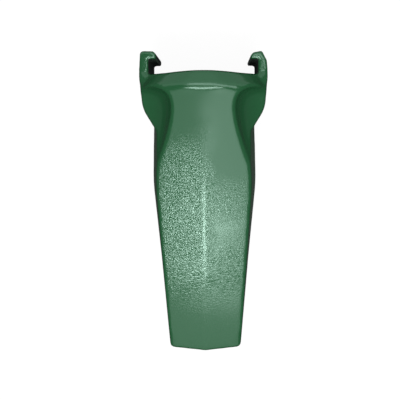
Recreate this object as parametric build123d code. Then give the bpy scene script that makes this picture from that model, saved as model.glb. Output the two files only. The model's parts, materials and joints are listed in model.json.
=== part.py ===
from build123d import *
import os
from math import atan2, cos, degrees, radians, sin, tan

# Bucket tooth for an excavator: one steel casting. It slides over the nose of an adapter, and a
# retainer in each rear hook keeps it on. All sizes are in millimetres.
# The tooth is modelled about its own axis: X across, -Y from the socket mouth to the cutting edge,
# Z up from the parting plane. Top and bottom are the same, so that it can be turned over when worn.

# Body
body_length = 346.0        # socket mouth to the point of the cutting edge
root_width = 120.0         # across the sides at the parting plane, at the socket mouth
shoulder_width = 127.8     # the same at the widest place, where the sides start to close in
shoulder_setback = 126.0   # mouth to that place
waist_width = 110.2        # the same where the sides run on at a smaller angle
waist_setback = 222.0      # mouth to that place
edge_width = 91.2          # across the cutting edge, at its corners
edge_point = 4.5           # how far the middle of the cutting edge stands ahead of its corners
edge_corner_radius = 5.0
side_radius = 200.0        # of the sides' bends, seen from above
edge_thickness = 24.0      # height of the centre ridge at the cutting edge
side_draft = 16.0          # lean of the sides at the socket mouth, in degrees
edge_draft = 5.0           # lean of the sides at the cutting edge
front_draft = 16.0         # lean of the cutting edge's front
belly = 1.5                # how much the ridge is crowned along its length
facet_slope = 5.5          # fall of the two facets from the ridge, in degrees
ridge_start = 130.0        # mouth to where the ridge is sharp
crown_end = 48.0           # mouth to where the neck is still a smooth crown

# Collar
ear_span = 149.0           # across the outer faces of the ears
mouth_height = 102.0       # collar, at the socket mouth
rim_arch = 2.1             # how far the middle of the mouth's rim stands out, seen from above
rim_arch_radius = 400.0
crest_height = 110.0       # collar, at its crest
crest_setback = 14.2       # mouth to crest
crest_land = 5.0           # length of the crest
mouth_fullness = 2.2       # power of the rounded outline: 2 is an ellipse, more is squarer
crest_fullness = 3.2
outline_steps = 8          # points along a quarter of the rounded outline
collar_depth = 40.0        # mouth to where the collar ends inside the neck and the cheeks
collar_sink = 2.0          # how far it is below the neck's surface there
collar_inset = 0.6         # collar's sides behind the faces of the cheeks and ears

# Cheeks, the two bulges in front of the ears
cheek_height = 63.0
cheek_shoulder = 38.5      # mouth to the shoulder, where a cheek turns in
shoulder_inset = 1.7       # shoulder behind the ear's outer face
cheek_nose = 55.8          # mouth to where the cheek runs out on the body's side
shoulder_radius = 34.0
cheek_radius = 8.0         # rounding along the top and bottom of a cheek
cheek_inside = 30.0        # centre line to the cheek's inner face, sunk in the body

# Scoops, four pockets that give the neck its waist
neck_width = 71.0          # across the top at the narrowest
neck_setback = 41.0        # mouth to the narrowest place
scoop_start = 15.5         # mouth to the rear wall of the scoops
scoop_length = 112.0
scoop_run_out = 0.42       # radius of the spindle at its front end, as a share of the widest
scoop_lift = 8.0           # axis of the scoop above the top surface
rear_rise = 0.85           # pull of the spindle's curve, up from its rear end, as a share of the widest
rear_pull = 0.35           # back from the widest place, as a share of the length behind it
front_pull = 0.17          # on from the widest place, as a share of the length ahead of it
front_bend = 0.52          # place of the last pull, as a share of that length
front_bend_radius = 0.76   # its radius, as a share of the widest

# Ears and hooks
ear_height = 59.0
ear_thickness = 11.4       # outer bar
ear_root = 8.0             # how far the ear runs on inside the cheek
ear_toe = 2.0              # how far the ear's outer face leans in at the rear
hook_reach = 26.2          # mouth to the rear face of the hook
hook_thickness = 9.3       # rear bar
hook_lip = 9.0             # how far the hook turns in behind the retainer
hook_chamfer = 3.2         # rear corner of the lip
left_corner_length = 2.4   # outer rear corner of the left hook, cut off along the ear
left_corner_depth = 2.4    # the same across it
left_rear_fall = 0.4       # how far its rear face falls off towards the lip
right_corner_length = 11.0     # the right hook's corner is sloped off further
right_corner_depth = 5.2
right_rear_fall = 2.4
hook_corner_radius = 2.0   # rounding of the corners that are left
ear_radius = 1.5           # rounding round the top and bottom of the ears and hooks

# Socket
mouth_clear_width = 108.0
mouth_clear_height = 78.0
socket_depth = 140.0
pad_length = 26.0          # square end of the socket, where the nose bears
pad_width = 64.0
pad_height = 34.0
socket_corner = 0.34       # chamfer of the mouth's corners, as a share of its height
pad_corner = 4.0

half_span = ear_span / 2
half_crest = crest_height / 2
half_edge = edge_thickness / 2
neck_start = crest_setback + crest_land
top_fall = atan2(half_crest - half_edge, body_length - neck_start)   # lean of the top surface
far = 400.0                # a reach that clears the whole tooth


def across(setback):
    """Plane square to the tooth's axis, seen from the mouth: X across, Y up."""
    return Plane(origin=(0, -setback, 0), x_dir=(1, 0, 0), z_dir=(0, -1, 0))


def ridge_height(setback):
    """Height of the centre line above the parting plane, without its belly."""
    return half_crest - (setback - neck_start) * tan(top_fall)


def four_way(quarter):
    """A face from the outline of its upper right quarter."""
    half = quarter + mirror(quarter, Plane.YZ)
    return make_face(half + mirror(half, Plane.XZ))


def facet_section(setback, rise, crowned):
    """Top and bottom of the blade at one place: two facets, or a smooth crown near the collar."""
    top = ridge_height(setback) + rise
    reach = half_span
    shoulder = top - reach * tan(radians(facet_slope))
    if crowned:
        upper = TangentArc((0, top), (reach, shoulder), tangent=(1, 0))
    else:
        upper = Line((0, top), (reach, shoulder))
    return across(setback) * four_way(upper + Line((reach, shoulder), (reach, 0)))


def body_plan(height):
    """Outline of the body, seen from above, at a height above the parting plane."""
    corner_setback = body_length - edge_point
    front = height * tan(radians(front_draft))
    stations = (
        (root_width, 0),
        (shoulder_width, shoulder_setback),
        (waist_width, waist_setback),
        (edge_width, corner_setback),
    )
    flank = []
    for width, setback in stations:
        lean = side_draft + (edge_draft - side_draft) * setback / corner_setback
        flank.append((width / 2 - height * tan(radians(lean)), -setback))
    flank[-1] = (flank[-1][0], front - corner_setback)
    right = Polyline((0, 0), *flank, (0, front - body_length))
    outline = make_face(right + mirror(right, Plane.YZ))
    bends = (
        (corner_setback - front, edge_corner_radius),
        (shoulder_setback, side_radius),
        (waist_setback, side_radius),
    )
    for setback, radius in bends:
        turns = outline.vertices().filter_by(lambda v: abs(v.Y + setback) < 0.01)
        outline = fillet(turns, radius)
    return Pos(0, 0, height) * outline


def blade():
    """The wedge: a drafted plan outline between two faceted surfaces."""
    upper = loft([body_plan(0), body_plan(half_span)], ruled=True)
    block = upper + mirror(upper, Plane.XY)

    middle = (ridge_start + body_length) / 2
    wedge = loft(
        [
            facet_section(0, 0, True),
            facet_section(crown_end, 0, True),
            facet_section(ridge_start, belly, False),
            facet_section(middle, belly, False),
            facet_section(body_length + edge_point, 0, False),
        ],
        ruled=True,
    )
    behind_crest = Pos(0, far / 2 - neck_start, 0) * Box(far, far, far)
    return (block & wedge) - behind_crest


def rounded_section(setback, half_width, half_height, fullness):
    """A superellipse, the rounded outline of the collar."""
    points = []
    for step in range(outline_steps + 1):
        turn = radians(90 * step / outline_steps)
        points.append((
            half_width * cos(turn) ** (2 / fullness),
            half_height * sin(turn) ** (2 / fullness),
        ))
    quarter = Spline(*points, tangents=[(0, 1), (-1, 0)])
    return across(setback) * four_way(quarter)


def collar():
    """The ring round the socket mouth: a bevel up to the crest, then on into the neck."""
    half_width = half_span - collar_inset
    mouth = rounded_section(0, half_width, mouth_height / 2, mouth_fullness)
    crest = rounded_section(crest_setback, half_width, half_crest, crest_fullness)
    neck = rounded_section(neck_start, half_width, half_crest, crest_fullness)
    front_height = ridge_height(collar_depth) - collar_sink
    front = rounded_section(collar_depth, root_width / 2, front_height, crest_fullness)
    ring = loft([mouth, crest, neck, front], ruled=True)
    arch = Pos(0, rim_arch - rim_arch_radius, 0) * Cylinder(rim_arch_radius, mouth_height)
    return ring + (extrude(mouth, -rim_arch) & arch)


def cheek():
    """Right cheek: it carries the ear and runs out on the body's side."""
    side = (root_width + (shoulder_width - root_width) * cheek_nose / shoulder_setback) / 2
    shoulder = half_span - shoulder_inset
    sunk = 2 * side - shoulder
    front = 2 * cheek_nose - cheek_shoulder
    outline = Polyline(
        (cheek_inside, 0), (half_span, 0), (shoulder, -cheek_shoulder),
        (sunk, -front), (cheek_inside, -front),
        close=True,
    )
    plan = make_face(outline)
    turn = plan.vertices().filter_by(lambda v: abs(v.Y + cheek_shoulder) < 0.01)
    plan = fillet(turn, shoulder_radius)
    body = extrude(plan, cheek_height / 2, both=True)
    rims = body.edges().filter_by(lambda e: abs(abs(e.center().Z) - cheek_height / 2) < 0.01)
    rims = rims.filter_by(lambda e: e.center().X > side and e.center().Y < -0.01)
    return fillet(rims, cheek_radius)


def scoop():
    """Upper right pocket: a spindle that lies along the top surface, beside the neck."""
    lean = (0, -cos(top_fall), -sin(top_fall))
    axis_height = ridge_height(scoop_start) + scoop_lift
    widest = ((half_span - neck_width / 2) ** 2 + scoop_lift ** 2) ** 0.5
    peak = neck_setback - scoop_start
    front_length = scoop_length - peak
    end_radius = widest * scoop_run_out
    rear = Bezier((0, 0), (0, widest * rear_rise), (peak * rear_pull, widest), (peak, widest))
    front = Bezier(
        (peak, widest),
        (peak + front_length * front_pull, widest),
        (peak + front_length * front_bend, widest * front_bend_radius),
        (scoop_length, end_radius),
    )
    spindle_axis = Line((0, 0), (scoop_length, 0))
    end = Line((scoop_length, 0), (scoop_length, end_radius))
    plane = Plane(origin=(half_span, -scoop_start, axis_height), x_dir=lean, z_dir=(1, 0, 0))
    face = plane * make_face(rear + front + end + spindle_axis)
    return revolve(face, Axis((half_span, -scoop_start, axis_height), lean))


def hook(corner_length, corner_depth, rear_fall):
    """Right ear with its hook, which turns in behind the retainer."""
    inner = half_span - ear_thickness
    front = hook_reach - hook_thickness
    rear = half_span - ear_toe
    tip = inner - hook_lip
    outline = Polyline(
        (inner, -ear_root), (half_span, -ear_root), (half_span, 0),
        (half_span - ear_toe * (1 - corner_length / hook_reach), hook_reach - corner_length),
        (rear - corner_depth, hook_reach), (tip, hook_reach - rear_fall), (tip, front), (inner, front),
        close=True,
    )
    plan = make_face(outline)
    outer = plan.vertices().filter_by(lambda v: v.X > inner and v.Y > 0.01)
    plan = fillet(outer, hook_corner_radius)
    lip = plan.vertices().filter_by(lambda v: v.X < tip + 0.01 and v.Y > front + 0.01)
    plan = chamfer(lip, hook_chamfer)
    body = extrude(plan, ear_height / 2, both=True)
    rims = body.edges().filter_by(lambda e: abs(abs(e.center().Z) - ear_height / 2) < 0.01)
    rims = rims.filter_by(lambda e: e.center().Y > 0.5)
    return fillet(rims, ear_radius)


def octagon(setback, width, height, corner):
    """A rectangle with cut corners, square to the axis."""
    outline = Rectangle(width, height)
    return across(setback) * chamfer(outline.vertices(), corner)


def socket():
    """The space for the adapter's nose: a taper that ends in a square box."""
    pad_start = socket_depth - pad_length
    taper = loft(
        [
            octagon(0, mouth_clear_width, mouth_clear_height, mouth_clear_height * socket_corner),
            octagon(pad_start, pad_width, pad_height, pad_corner),
        ],
        ruled=True,
    )
    box = extrude(octagon(pad_start, pad_width, pad_height, pad_corner), pad_length)
    mouth = octagon(0, mouth_clear_width, mouth_clear_height, mouth_clear_height * socket_corner)
    return taper + box + extrude(mouth, -rim_arch)


def tooth():
    """The whole casting, lying on its underside."""
    bulge = cheek()
    solid = blade() + collar() + bulge + mirror(bulge, Plane.YZ)
    pocket = scoop()
    for upper in (pocket, mirror(pocket, Plane.YZ)):
        solid -= upper
        solid -= mirror(upper, Plane.XY)
    solid += hook(right_corner_length, right_corner_depth, right_rear_fall)
    solid += mirror(hook(left_corner_length, left_corner_depth, left_rear_fall), Plane.YZ)
    solid -= socket()
    return solid


if __name__ == "__main__":
    os.makedirs("parts", exist_ok=True)
    casting = Rot(degrees(top_fall), 0, 0) * tooth()
    box = casting.bounding_box()
    casting = Pos(-box.center().X, -box.center().Y, -box.min.Z) * casting
    export_step(casting, "parts/tooth.step")
    print("solids", len(casting.solids()), "volume", round(casting.volume), "valid", casting.is_valid)
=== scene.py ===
import json
from math import radians, tan

import bmesh
import bpy
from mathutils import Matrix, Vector


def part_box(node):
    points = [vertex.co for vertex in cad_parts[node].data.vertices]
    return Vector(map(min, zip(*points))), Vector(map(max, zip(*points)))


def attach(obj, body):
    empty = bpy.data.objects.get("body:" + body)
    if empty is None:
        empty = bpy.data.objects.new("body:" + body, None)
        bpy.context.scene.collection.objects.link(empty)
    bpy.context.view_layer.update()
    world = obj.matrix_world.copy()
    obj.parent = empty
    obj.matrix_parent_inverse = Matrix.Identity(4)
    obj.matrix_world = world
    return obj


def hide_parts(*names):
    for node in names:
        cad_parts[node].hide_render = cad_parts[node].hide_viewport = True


# Bucket tooth lying on its underside, seen from straight above. Sizes are in metres, in the frame
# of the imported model: X across, -Y towards the cutting edge, Z up.

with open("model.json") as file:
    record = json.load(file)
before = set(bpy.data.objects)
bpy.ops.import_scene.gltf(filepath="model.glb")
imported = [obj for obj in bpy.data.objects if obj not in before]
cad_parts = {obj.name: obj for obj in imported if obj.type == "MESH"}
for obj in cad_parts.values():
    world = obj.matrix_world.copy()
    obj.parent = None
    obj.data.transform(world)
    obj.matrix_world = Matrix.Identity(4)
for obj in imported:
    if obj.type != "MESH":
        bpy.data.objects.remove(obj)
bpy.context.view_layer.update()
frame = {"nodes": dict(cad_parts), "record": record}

# Skin of the casting
VOXEL = 0.00145              # spacing of the skin's mesh
MERGE = 0.00002
SMOOTHING = 0.5              # how far each pass moves a point to the middle of its neighbours
BODY_PASSES = 8              # passes that leave the rounding of a sand mould on the body's edges
HOOK_PASSES = 2              # the hooks are crisper
HOOK_LENGTH = 0.0285         # rear of the hooks to the socket mouth, with the lean of the tooth

# Camera
PIXELS = 400                 # side of the picture
FOCAL_PIXELS = 478.9         # distance at which one metre spans this many pixels
CAMERA_HEIGHT = 0.638
CAMERA_X = 0.0140
CAMERA_Y = 0.0087
CAMERA_ROLL = -0.198         # degrees
CAMERA_SHIFT = (-0.0398, -0.0014)   # places the tooth in the frame as the photograph does
SENSOR = 36.0

# Floor and light
FLOOR_SIZE = 6.0
WHITE = "FFFFFF"
BOARD = "303030"             # the board's own tone, dark so that it lights the sides but little
VIEW_WHITE = 0.9             # share of plain white in what the camera sees of the board
GLOSS_WHITE = 0.03           # the same in what the enamel mirrors of it
MIDDLE = (0, 0, 0.06)        # where the lights are aimed
LAMP_DISTANCE = 1.5
WORLD_LIGHT = 0.23
# Name, place across and along in degrees from straight above, width and depth in degrees, radiance
SOFTBOXES = [
    ("key", 0, -33.5, 10, 5, 33.6),
    ("key_left", -14.5, -33.5, 19, 5, 14.5),
    ("key_wide", 0, -33.5, 28, 5, 8.6),
    ("key_back", 0, -24.5, 10, 13, 2.6),
    ("below_key", 0, -44, 28, 6, 4.1),
    ("halo", 0, -31.5, 48, 45, 1.1),
    ("right", 14.5, -28, 19, 38, 1.4),
    ("low", 0, -63, 48, 18, 0.88),
    ("above", 0, 0, 16, 6, 11.9),
    ("crest", 8, 14.5, 32, 11, 3.4),
    ("behind", 0, 30, 80, 20, 0.82),
    ("far_behind", 0, 56, 80, 32, 0.67),
]

# Enamel. Places along the tooth are in metres from its middle, with -Y towards the cutting edge.
ENAMEL = "1A4629"
SHINE = "DCFFF0"             # the pigment tints the gloss a little
REFRACTION = 1.5
SHINE_LEVEL = 0.5            # the shader's plain level of gloss
PAINTED_SHADE = "1C221E"             # painted shade: a dark colour put inside the socket and the hooks, where shade falls
SMOOTH_ROUGHNESS = 0.14
GRAIN_ROUGHNESS = 0.18
PAINTED_SHADE_ROUGHNESS = 0.6
GRAIN = 0.0015               # spacing of the mould's grain
GRAIN_HEIGHT = 0.00031
ROUND_FINENESS = 0.6         # strength of the finer noise in the round grain
WRINKLE_FINENESS = 0.5       # and in the wrinkles
NOISE_DETAIL = 2.0
NOISE_MIDDLE = 0.5           # the noise lies around this value
DULL_LOWS = 2.8              # how far the grain's lows lose their shine, and its tops gain
SMOOTH_SHARE = 0.12          # how much of the grain is left where the skin is smooth
WRINKLE_STRETCH = 0.45       # how wide a wrinkle is for its length, which runs across the tooth
PATCH = 0.035                # size of the wavers in the edges of the rough patches
PATCH_DRIFT = 0.03
# Shares of roughness by place: along the left and right half, from left to right, and beside the
# centre ridge, where the grain is worn. The last one blends the round grain into the wrinkles.
ROUGH_LEFT = [(-0.136, 0), (-0.100, 0.65), (-0.060, 1), (0.058, 1), (0.094, 0)]
ROUGH_RIGHT = [
    (-0.120, 0), (-0.095, 0.7), (-0.060, 0.9), (-0.045, 0.12),
    (-0.025, 0.05), (-0.005, 0.5), (0.015, 0.5), (0.040, 0),
]
RIGHT_HALF = [(-0.002, 0), (0.014, 1)]
WORN_RIDGE = [(0.0004, 0.45), (0.0024, 1)]
WRINKLED = [(-0.085, 1), (-0.055, 0)]

# Where shade is painted inside the socket and the hooks, from the middle of the socket mouth. For
# the socket: half width, half height and the reach of the cut corners, at its mouth and at its
# end.
# For the hooks' insides: the nearest and farthest place across and to the rear.
SOCKET_MOUTH = (0.0555, 0.0405, 0.0680)
SOCKET_END = (0.0335, 0.0185, 0.0470)
SOCKET_TAPER = 0.114
SOCKET_DEPTH = 0.1415
SOCKET_RIM = 0.0006          # the painted shade starts this far behind the mouth
CHANNEL = (0.0440, 0.0633, 0.0004, 0.0172)
LIP_END = (0.0440, 0.0546, 0.0165, 0.0275)


def linear(hex_colour):
    """An sRGB hex colour as linear RGBA."""
    channels = []
    for start in (0, 2, 4):
        value = int(hex_colour[start:start + 2], 16) / 255
        channels.append(value / 12.92 if value <= 0.04045 else ((value + 0.055) / 1.055) ** 2.4)
    return (*channels, 1.0)


def add_node(tree, kind, settings=None, **links):
    """Adds a node. Settings are properties or input values; links are inputs by name or number."""
    node = tree.nodes.new(kind)
    for name, value in (settings or {}).items():
        if isinstance(name, int) or name in node.inputs:
            node.inputs[name].default_value = value
        else:
            setattr(node, name, value)
    for name, socket in links.items():
        target = int(name[1:]) if name[1:].isdigit() else name.replace("_", " ")
        tree.links.new(socket, node.inputs[target])
    return node


def new_material(name):
    material = bpy.data.materials.new(name)
    material.use_nodes = True
    material.node_tree.nodes.clear()
    return material, material.node_tree


def ramp(tree, value, stops):
    """A chain of straight lines between (position, height) stops; the value is in metres."""
    low, high = stops[0][0], stops[-1][0]
    share = add_node(
        tree, "ShaderNodeMapRange", {"From Min": low, "From Max": high}, Value=value
    )
    node = add_node(tree, "ShaderNodeValToRGB", Fac=share.outputs["Result"])
    elements = node.color_ramp.elements
    for position, height in stops[1:-1]:
        elements.new((position - low) / (high - low)).color = (height, height, height, 1)
    elements[0].color = (stops[0][1],) * 3 + (1,)
    elements[-1].color = (stops[-1][1],) * 3 + (1,)
    return node.outputs["Color"]


def combine(tree, operation, first, second):
    """Two values put together; either may be a number."""
    settings, links = {"operation": operation}, {}
    for number, value in enumerate((first, second)):
        if isinstance(value, (int, float)):
            settings[number] = value
        else:
            links[f"_{number}"] = value
    return add_node(tree, "ShaderNodeMath", settings, **links).outputs["Value"]


def between(tree, value, low, high):
    """1 where a value lies between two numbers."""
    over = combine(tree, "GREATER_THAN", value, low)
    return combine(tree, "MULTIPLY", over, combine(tree, "LESS_THAN", value, high))


def painted_shade_mask(tree, axes):
    """Where shade is painted: 1 inside the socket and the hooks, 0 elsewhere."""
    mount = next(m for m in frame["record"]["mounts"] if m["name"] == "socket")
    _, along_y, along_z = mount["axis"]
    from_y = combine(tree, "SUBTRACT", axes.outputs["Y"], mount["pos_m"][1])
    from_z = combine(tree, "SUBTRACT", axes.outputs["Z"], mount["pos_m"][2])
    back = combine(
        tree, "ADD",
        combine(tree, "MULTIPLY", from_y, along_y), combine(tree, "MULTIPLY", from_z, along_z),
    )
    height = combine(
        tree, "SUBTRACT",
        combine(tree, "MULTIPLY", from_z, along_y), combine(tree, "MULTIPLY", from_y, along_z),
    )
    beside = combine(tree, "ABSOLUTE", axes.outputs["X"], 0)
    above = combine(tree, "ABSOLUTE", height, 0)
    inside = between(tree, back, -SOCKET_DEPTH, SOCKET_RIM)
    distances = (beside, above, combine(tree, "ADD", beside, above))
    for distance, mouth, end in zip(distances, SOCKET_MOUTH, SOCKET_END):
        taper = combine(tree, "MAXIMUM", combine(
            tree, "ADD", combine(tree, "MULTIPLY", back, (mouth - end) / SOCKET_TAPER), mouth
        ), end)
        inside = combine(tree, "MULTIPLY", inside, combine(tree, "LESS_THAN", distance, taper))
    for near, far, start, stop in (CHANNEL, LIP_END):
        hollow = combine(
            tree, "MULTIPLY", between(tree, beside, near, far), between(tree, back, start, stop)
        )
        inside = combine(tree, "MAXIMUM", inside, hollow)
    return inside


def cast_enamel():
    """Green gloss enamel over sand-cast steel.

    The grain of the mould roughens it in patches, where it glints and dulls from point to point.
    Inside the socket and the hooks a dark colour is painted as shade, which makes them read as
    hollows.
    """
    material, tree = new_material("gloss_enamel_on_cast_steel")
    place = add_node(tree, "ShaderNodeTexCoord").outputs["Object"]
    axes = add_node(tree, "ShaderNodeSeparateXYZ", Vector=place)

    wander = add_node(
        tree, "ShaderNodeTexNoise", {"Scale": 1 / PATCH, "Detail": NOISE_DETAIL}, Vector=place
    )
    waver = combine(tree, "SUBTRACT", wander.outputs["Fac"], NOISE_MIDDLE)
    drift = combine(tree, "MULTIPLY", waver, PATCH_DRIFT)
    along = combine(tree, "ADD", axes.outputs["Y"], drift)
    across = combine(tree, "ADD", axes.outputs["X"], drift)
    patches = add_node(
        tree, "ShaderNodeMix", {"data_type": "FLOAT"}, _0=ramp(tree, across, RIGHT_HALF),
        _2=ramp(tree, along, ROUGH_LEFT), _3=ramp(tree, along, ROUGH_RIGHT),
    ).outputs[0]
    beside = combine(tree, "ABSOLUTE", axes.outputs["X"], 0)
    rough = combine(tree, "MULTIPLY", patches, ramp(tree, beside, WORN_RIDGE))

    noise = {"Scale": 1 / GRAIN, "Detail": NOISE_DETAIL}
    round_grain = add_node(
        tree, "ShaderNodeTexNoise", {**noise, "Roughness": ROUND_FINENESS}, Vector=place
    )
    stretched = add_node(
        tree, "ShaderNodeMapping", {"Scale": (WRINKLE_STRETCH, 1, 1)}, Vector=place
    )
    wrinkles = add_node(
        tree, "ShaderNodeTexNoise", {**noise, "Roughness": WRINKLE_FINENESS},
        Vector=stretched.outputs["Vector"],
    )
    grain = add_node(
        tree, "ShaderNodeMix", {"data_type": "FLOAT"},
        _0=ramp(tree, along, WRINKLED), _2=round_grain.outputs["Fac"], _3=wrinkles.outputs["Fac"],
    ).outputs[0]
    depth = combine(tree, "MULTIPLY", combine(tree, "ADD", rough, SMOOTH_SHARE), grain)
    bump = add_node(
        tree, "ShaderNodeBump", {"Strength": 1.0, "Distance": GRAIN_HEIGHT}, Height=depth
    )
    lows = combine(tree, "MULTIPLY", combine(tree, "SUBTRACT", grain, NOISE_MIDDLE), rough)
    shine = combine(tree, "ADD", combine(tree, "MULTIPLY", lows, DULL_LOWS), SHINE_LEVEL)

    # a dark colour painted as shade inside the socket and the hooks
    painted_shade = painted_shade_mask(tree, axes)
    colour = add_node(
        tree, "ShaderNodeMix", {"data_type": "RGBA", 6: linear(ENAMEL), 7: linear(PAINTED_SHADE)},
        Factor=painted_shade,
    ).outputs[2]
    painted = add_node(
        tree, "ShaderNodeMix", {"data_type": "FLOAT", 2: SMOOTH_ROUGHNESS, 3: GRAIN_ROUGHNESS},
        _0=rough,
    ).outputs[0]
    roughness = add_node(
        tree, "ShaderNodeMix", {"data_type": "FLOAT", 3: PAINTED_SHADE_ROUGHNESS}, _0=painted_shade, _2=painted
    ).outputs[0]
    shader = add_node(
        tree, "ShaderNodeBsdfPrincipled", {"IOR": REFRACTION, "Specular Tint": linear(SHINE)},
        Base_Color=colour, Roughness=roughness, Specular_IOR_Level=shine,
        Normal=bump.outputs["Normal"],
    )
    add_node(tree, "ShaderNodeOutputMaterial", Surface=shader.outputs["BSDF"])
    return material


def plain_floor():
    """Matt board of a dark grey, which the camera sees white with the tooth's shadow on it."""
    material, tree = new_material("matt_board")
    ray = add_node(tree, "ShaderNodeLightPath")
    tone = add_node(
        tree, "ShaderNodeMix", {"data_type": "RGBA", 6: linear(BOARD), 7: linear(WHITE)},
        Factor=ray.outputs["Is Camera Ray"],
    )
    matt = add_node(tree, "ShaderNodeBsdfDiffuse", Color=tone.outputs[2])
    glow = add_node(tree, "ShaderNodeEmission", {"Color": linear(WHITE), "Strength": 1.0})
    mirrored = combine(
        tree, "MAXIMUM", ray.outputs["Is Glossy Ray"], ray.outputs["Is Transmission Ray"]
    )
    share = combine(
        tree, "MAXIMUM",
        combine(tree, "MULTIPLY", mirrored, GLOSS_WHITE),
        combine(tree, "MULTIPLY", ray.outputs["Is Camera Ray"], VIEW_WHITE),
    )
    mix = add_node(
        tree, "ShaderNodeMixShader",
        _0=share, _1=matt.outputs["BSDF"], _2=glow.outputs["Emission"],
    )
    add_node(tree, "ShaderNodeOutputMaterial", Surface=mix.outputs["Shader"])
    return material


def cast_tooth():
    """The casting's skin: the solid's own form, with rounded edges and a fine even mesh."""
    source = frame["nodes"]["tooth"]
    mesh = source.data.copy()
    skin = bpy.data.objects.new("cast_tooth", mesh)
    bpy.context.scene.collection.objects.link(skin)

    form = bmesh.new()
    form.from_mesh(mesh)
    bmesh.ops.remove_doubles(form, verts=form.verts, dist=MERGE)
    form.to_mesh(mesh)
    form.free()

    remesh = skin.modifiers.new("voxels", "REMESH")
    remesh.mode = "VOXEL"
    remesh.voxel_size = VOXEL
    graph = bpy.context.evaluated_depsgraph_get()
    fine = bpy.data.meshes.new_from_object(skin.evaluated_get(graph))
    skin.modifiers.clear()
    skin.data = fine

    form = bmesh.new()
    form.from_mesh(fine)
    hooks_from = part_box("tooth")[1].y - HOOK_LENGTH
    body = [v for v in form.verts if v.co.y < hooks_from]
    every_way = {"use_axis_x": True, "use_axis_y": True, "use_axis_z": True}
    for _ in range(BODY_PASSES):
        bmesh.ops.smooth_vert(form, verts=body, factor=SMOOTHING, **every_way)
    for _ in range(HOOK_PASSES):
        bmesh.ops.smooth_vert(form, verts=form.verts, factor=SMOOTHING, **every_way)
    for face in form.faces:
        face.smooth = True
    form.to_mesh(fine)
    form.free()

    fine.materials.clear()
    fine.materials.append(cast_enamel())
    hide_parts("tooth")
    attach(skin, "root")


def floor():
    form = bmesh.new()
    bmesh.ops.create_grid(form, x_segments=1, y_segments=1, size=FLOOR_SIZE / 2)
    mesh = bpy.data.meshes.new("floor")
    form.to_mesh(mesh)
    form.free()
    mesh.materials.append(plain_floor())
    board = bpy.data.objects.new("floor", mesh)
    bpy.context.scene.collection.objects.link(board)


def softbox(name, across, along, width, depth, radiance):
    """A rectangular soft light that faces the tooth.

    Its place is given in degrees from straight above: across towards +X, along towards +Y. Its
    width and depth are in degrees too, as the tooth sees them.
    """
    data = bpy.data.lights.new(name, "AREA")
    data.shape = "RECTANGLE"
    data.size = 2 * LAMP_DISTANCE * tan(radians(width / 2))
    data.size_y = 2 * LAMP_DISTANCE * tan(radians(depth / 2))
    data.energy = radiance * 4 * data.size * data.size_y    # the power that gives this radiance
    lamp = bpy.data.objects.new(name, data)
    lean = Vector((tan(radians(across)), tan(radians(along)), 1)).normalized()
    lamp.location = Vector(MIDDLE) + LAMP_DISTANCE * lean
    lamp.rotation_euler = lean.to_track_quat("Z", "Y").to_euler()
    bpy.context.scene.collection.objects.link(lamp)


def studio():
    for values in SOFTBOXES:
        softbox(*values)
    world = bpy.data.worlds.new("studio")
    world.use_nodes = True
    background = world.node_tree.nodes["Background"]
    background.inputs["Color"].default_value = linear(WHITE)
    background.inputs["Strength"].default_value = WORLD_LIGHT
    bpy.context.scene.world = world


def camera():
    data = bpy.data.cameras.new("camera")
    data.sensor_width = SENSOR
    data.lens = SENSOR * FOCAL_PIXELS / PIXELS
    data.shift_x, data.shift_y = CAMERA_SHIFT
    eye = bpy.data.objects.new("camera", data)
    eye.location = (CAMERA_X, CAMERA_Y, CAMERA_HEIGHT)
    eye.rotation_euler = (0, 0, radians(CAMERA_ROLL))
    bpy.context.scene.collection.objects.link(eye)
    bpy.context.scene.camera = eye


camera()
cast_tooth()
floor()
studio()
bpy.context.scene.view_settings.view_transform = "Standard"
